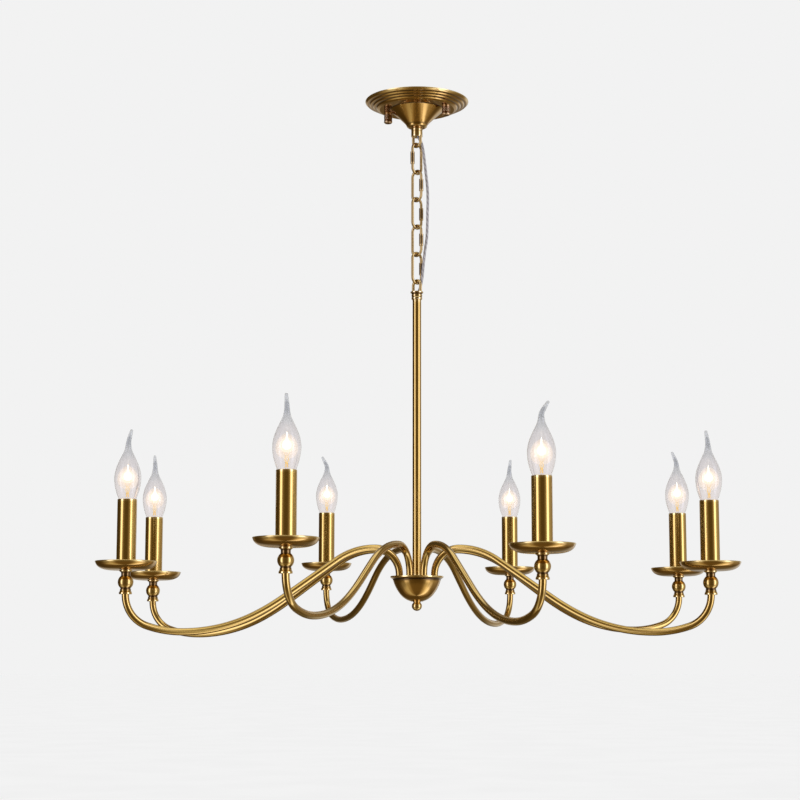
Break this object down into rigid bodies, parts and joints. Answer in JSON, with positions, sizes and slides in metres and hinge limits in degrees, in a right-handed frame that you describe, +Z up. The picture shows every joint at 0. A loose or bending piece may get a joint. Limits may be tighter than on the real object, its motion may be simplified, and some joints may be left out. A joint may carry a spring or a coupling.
{
  "type": "multi arm chandelier",
  "caption": "Brass candle-style chandelier: a ring of curved arms on a hub bowl, hung by a stem and short chain from a round ceiling canopy, with drip pans and flame-tip bulbs.",
  "frame": {"origin": "centre of the canopy's open top, on the ceiling plane, midway between the bracket's two ceiling screw holes", "axes": "+Z up to the ceiling, X from left to right and Y from front to back in the main view"},
  "size_m": [0.8406, 0.8441, 0.753],
  "materials": {
    "satin_brass": "brushed antique brass with a lacquered satin sheen",
    "dark_brass": "aged, patterned",
    "steel": "zinc plated",
    "clear_glass": "clear, lit warm from inside",
    "bulb_cap": "rolled screw thread",
    "white_holder": "moulded",
    "clear_cord": "clear sheath over pale cores"
  },
  "bodies": {
    "canopy_body": {"ceiling_bracket": "steel", "bracket_studs": "steel", "canopy": "satin_brass", "canopy_loop": "satin_brass", "power_cord": "clear_cord"},
    "left_nut": {"thumb_nut_left": "dark_brass"},
    "right_nut": {"thumb_nut_right": "dark_brass"},
    "link_1": {"chain_link_1": "satin_brass"},
    "link_2": {"chain_link_2": "satin_brass"},
    "link_3": {"chain_link_3": "satin_brass"},
    "link_4": {"chain_link_4": "satin_brass"},
    "link_5": {"chain_link_5": "satin_brass"},
    "fixture": {"stem_loop": "satin_brass", "stem": "satin_brass", "hub_plate": "satin_brass", "hub_bowl": "satin_brass", "arm_nuts": "steel", "arm_1": "satin_brass", "arm_2": "satin_brass", "arm_3": "satin_brass", "arm_4": "satin_brass", "arm_5": "satin_brass", "arm_6": "satin_brass", "arm_7": "satin_brass", "arm_8": "satin_brass", "arm_cups": "satin_brass", "drip_pan_1": "satin_brass", "drip_pan_2": "satin_brass", "drip_pan_3": "satin_brass", "drip_pan_4": "satin_brass", "drip_pan_5": "satin_brass", "drip_pan_6": "satin_brass", "drip_pan_7": "satin_brass", "drip_pan_8": "satin_brass", "lamp_holders": "white_holder", "candle_sleeve_1": "satin_brass", "candle_sleeve_2": "satin_brass", "candle_sleeve_3": "satin_brass", "candle_sleeve_4": "satin_brass", "candle_sleeve_5": "satin_brass", "candle_sleeve_6": "satin_brass", "candle_sleeve_7": "satin_brass", "candle_sleeve_8": "satin_brass"},
    "finial_knob": {"finial": "satin_brass"},
    "lamp_1": {"bulb_base_1": "bulb_cap", "bulb_1": "clear_glass"},
    "lamp_2": {"bulb_base_2": "bulb_cap", "bulb_2": "clear_glass"},
    "lamp_3": {"bulb_base_3": "bulb_cap", "bulb_3": "clear_glass"},
    "lamp_4": {"bulb_base_4": "bulb_cap", "bulb_4": "clear_glass"},
    "lamp_5": {"bulb_base_5": "bulb_cap", "bulb_5": "clear_glass"},
    "lamp_6": {"bulb_base_6": "bulb_cap", "bulb_6": "clear_glass"},
    "lamp_7": {"bulb_base_7": "bulb_cap", "bulb_7": "clear_glass"},
    "lamp_8": {"bulb_base_8": "bulb_cap", "bulb_8": "clear_glass"}
  },
  "joints": [
    {"name": "chain_swing_1", "type": "hinge", "parent": "canopy_body", "child": "link_1", "pos_m": [0, 0, -0.0656], "axis": [0.7071, -0.7071, 0], "range_deg": [-12, 12], "deforming": ["power_cord"]},
    {"name": "chain_swing_2", "type": "hinge", "parent": "link_1", "child": "link_2", "pos_m": [0, 0, -0.10485], "axis": [0.7071, 0.7071, 0], "range_deg": [-12, 12]},
    {"name": "chain_swing_3", "type": "hinge", "parent": "link_2", "child": "link_3", "pos_m": [0, 0, -0.1442], "axis": [0.7071, -0.7071, 0], "range_deg": [-12, 12]},
    {"name": "chain_swing_4", "type": "hinge", "parent": "link_3", "child": "link_4", "pos_m": [0, 0, -0.18355], "axis": [0.7071, 0.7071, 0], "range_deg": [-12, 12]},
    {"name": "chain_swing_5", "type": "hinge", "parent": "link_4", "child": "link_5", "pos_m": [0, 0, -0.2229], "axis": [0.7071, -0.7071, 0], "range_deg": [-12, 12]},
    {"name": "chain_swing_6", "type": "hinge", "parent": "link_5", "child": "fixture", "pos_m": [0, 0, -0.26225], "axis": [0.7071, 0.7071, 0], "range_deg": [-12, 12]},
    {"name": "left_nut_turn", "type": "hinge", "parent": "canopy_body", "child": "left_nut", "pos_m": [-0.04099, 0.01999, -0.0193], "axis": [0, 0, 1], "continuous": true},
    {"name": "right_nut_turn", "type": "hinge", "parent": "canopy_body", "child": "right_nut", "pos_m": [0.04099, -0.01999, -0.0193], "axis": [0, 0, 1], "continuous": true},
    {"name": "finial_turn", "type": "hinge", "parent": "fixture", "child": "finial_knob", "pos_m": [0, 0, -0.7106], "axis": [0, 0, 1], "continuous": true},
    {"name": "bulb_1_out", "type": "slide", "parent": "fixture", "child": "lamp_1", "axis": [0, 0, 1], "range_m": [0, 0.05]},
    {"name": "bulb_2_out", "type": "slide", "parent": "fixture", "child": "lamp_2", "axis": [0, 0, 1], "range_m": [0, 0.05]},
    {"name": "bulb_3_out", "type": "slide", "parent": "fixture", "child": "lamp_3", "axis": [0, 0, 1], "range_m": [0, 0.05]},
    {"name": "bulb_4_out", "type": "slide", "parent": "fixture", "child": "lamp_4", "axis": [0, 0, 1], "range_m": [0, 0.05]},
    {"name": "bulb_5_out", "type": "slide", "parent": "fixture", "child": "lamp_5", "axis": [0, 0, 1], "range_m": [0, 0.05]},
    {"name": "bulb_6_out", "type": "slide", "parent": "fixture", "child": "lamp_6", "axis": [0, 0, 1], "range_m": [0, 0.05]},
    {"name": "bulb_7_out", "type": "slide", "parent": "fixture", "child": "lamp_7", "axis": [0, 0, 1], "range_m": [0, 0.05]},
    {"name": "bulb_8_out", "type": "slide", "parent": "fixture", "child": "lamp_8", "axis": [0, 0, 1], "range_m": [0, 0.05]}
  ]
}
